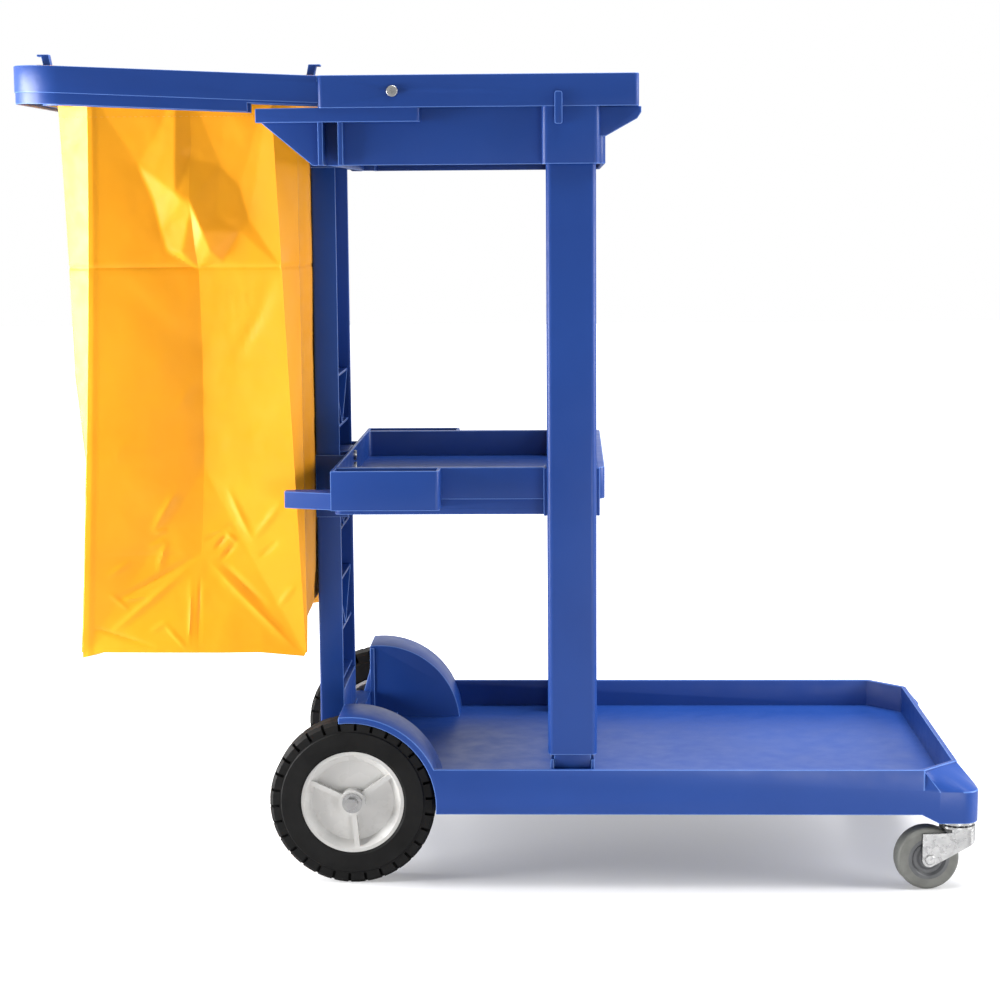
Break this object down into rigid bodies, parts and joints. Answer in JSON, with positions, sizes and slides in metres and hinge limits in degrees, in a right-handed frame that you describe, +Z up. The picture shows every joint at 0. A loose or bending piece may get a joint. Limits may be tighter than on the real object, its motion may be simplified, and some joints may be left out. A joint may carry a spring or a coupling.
{
  "type": "multifunction cart",
  "caption": "Janitor's push cart: lipped platform on large rear wheels and swivel casters, posts, two tray shelves and a loop handle that holds a hanging waste bag.",
  "frame": {"origin": "on the floor, under the middle of the cart's overall length and width", "axes": "+X forwards towards the casters, +Y to the cart's left, +Z up"},
  "size_m": [1.136, 0.5132, 0.9874],
  "materials": {
    "blue_plastic": "moulded, satin, fine grain",
    "bag_fabric": "coated woven fabric, creased",
    "tyre_rubber": "moulded black rubber",
    "hub_plastic": "white moulding",
    "bush_plastic": "natural plastic",
    "bare_steel": "turned",
    "zinc_steel": "zinc plated",
    "caster_tread": "grey thermoplastic rubber",
    "caster_core": "dark grey moulding"
  },
  "bodies": {
    "cart": {"base_platform": "blue_plastic", "rear_upright": "blue_plastic", "right_front_column": "blue_plastic", "left_front_column": "blue_plastic", "middle_shelf": "blue_plastic", "top_shelf": "blue_plastic", "bag_frame": "blue_plastic", "waste_bag": "bag_fabric", "rear_axle": "bare_steel", "wheel_washers": "zinc_steel", "axle_bolts": "zinc_steel", "bag_frame_screws": "zinc_steel", "top_shelf_screws": "zinc_steel", "middle_shelf_screws": "zinc_steel", "column_foot_screws": "zinc_steel", "upright_foot_screws": "zinc_steel", "right_caster_kingpin": "bare_steel", "left_caster_kingpin": "bare_steel", "right_caster_race": "zinc_steel", "left_caster_race": "zinc_steel"},
    "right_rear_wheel": {"right_tyre": "tyre_rubber", "right_wheel_hub": "hub_plastic", "right_wheel_bush": "bush_plastic"},
    "right_caster_swivel": {"right_caster_fork": "zinc_steel", "right_caster_balls": "bare_steel", "right_caster_sleeve": "bare_steel", "right_caster_bolt": "zinc_steel", "right_caster_nut": "zinc_steel"},
    "right_caster_wheel": {"right_caster_core": "caster_core", "right_caster_tread": "caster_tread"},
    "left_rear_wheel": {"left_tyre": "tyre_rubber", "left_wheel_hub": "hub_plastic", "left_wheel_bush": "bush_plastic"},
    "left_caster_swivel": {"left_caster_fork": "zinc_steel", "left_caster_balls": "bare_steel", "left_caster_sleeve": "bare_steel", "left_caster_bolt": "zinc_steel", "left_caster_nut": "zinc_steel"},
    "left_caster_wheel": {"left_caster_core": "caster_core", "left_caster_tread": "caster_tread"}
  },
  "joints": [
    {"name": "right_rear_wheel_spin", "type": "hinge", "parent": "cart", "child": "right_rear_wheel", "pos_m": [-0.179, -0.208, 0.1], "axis": [0, 1, 0], "continuous": true},
    {"name": "right_caster_turn", "type": "hinge", "parent": "cart", "child": "right_caster_swivel", "pos_m": [0.544, -0.232, 0.08], "axis": [0, 0, 1], "continuous": true},
    {"name": "right_caster_spin", "type": "hinge", "parent": "right_caster_swivel", "child": "right_caster_wheel", "pos_m": [0.50736, -0.23715, 0.0375], "axis": [-0.1392, 0.9903, 0], "continuous": true},
    {"name": "left_rear_wheel_spin", "type": "hinge", "parent": "cart", "child": "left_rear_wheel", "pos_m": [-0.179, 0.208, 0.1], "axis": [0, 1, 0], "continuous": true},
    {"name": "left_caster_turn", "type": "hinge", "parent": "cart", "child": "left_caster_swivel", "pos_m": [0.544, 0.232, 0.08], "axis": [0, 0, 1], "continuous": true},
    {"name": "left_caster_spin", "type": "hinge", "parent": "left_caster_swivel", "child": "left_caster_wheel", "pos_m": [0.50736, 0.23715, 0.0375], "axis": [0.1392, 0.9903, 0], "continuous": true}
  ]
}
